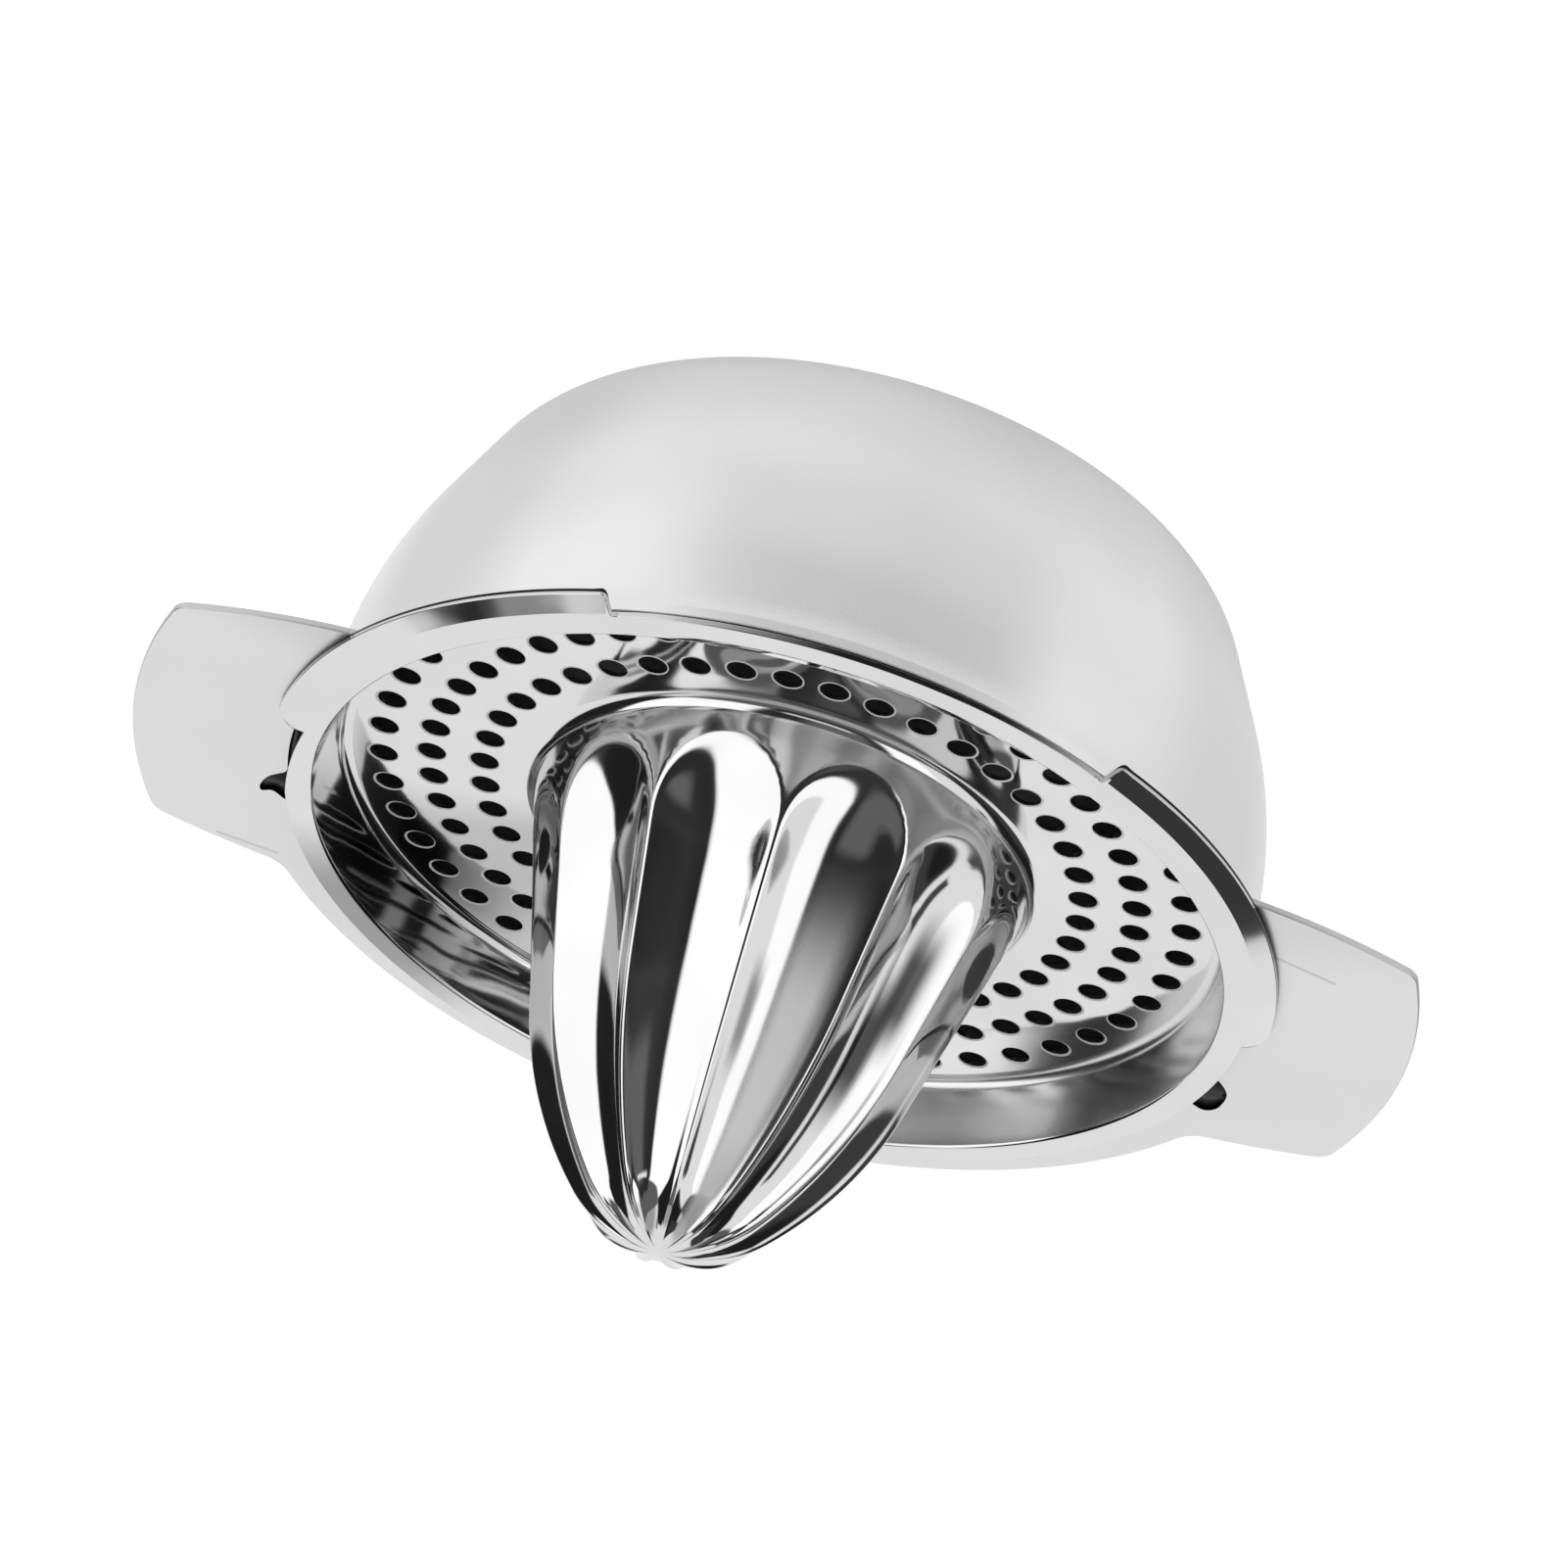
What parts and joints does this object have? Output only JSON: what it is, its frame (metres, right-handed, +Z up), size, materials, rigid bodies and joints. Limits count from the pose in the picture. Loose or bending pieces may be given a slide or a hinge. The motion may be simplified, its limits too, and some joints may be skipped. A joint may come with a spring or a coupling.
{
  "type": "citrus squeezer",
  "caption": "Pressed-steel citrus squeezer: round bowl with two flat handles and a lift-out perforated strainer dish with a fluted reamer.",
  "frame": {"origin": "centre of the bowl's flat foot, on the table", "axes": "+Z up along the reamer, +X along the handles, -Y towards the side that juice pours from"},
  "size_m": [0.1494, 0.1177, 0.0925],
  "materials": {
    "satin_steel": "satin",
    "mirror_steel": "mirror polished"
  },
  "bodies": {
    "bowl": {"bowl": "satin_steel"},
    "strainer": {"strainer": "mirror_steel"}
  },
  "joints": [
    {"name": "strainer_lift", "type": "slide", "parent": "bowl", "child": "strainer", "axis": [0, 0, 1], "range_m": [0, 0.04]}
  ]
}
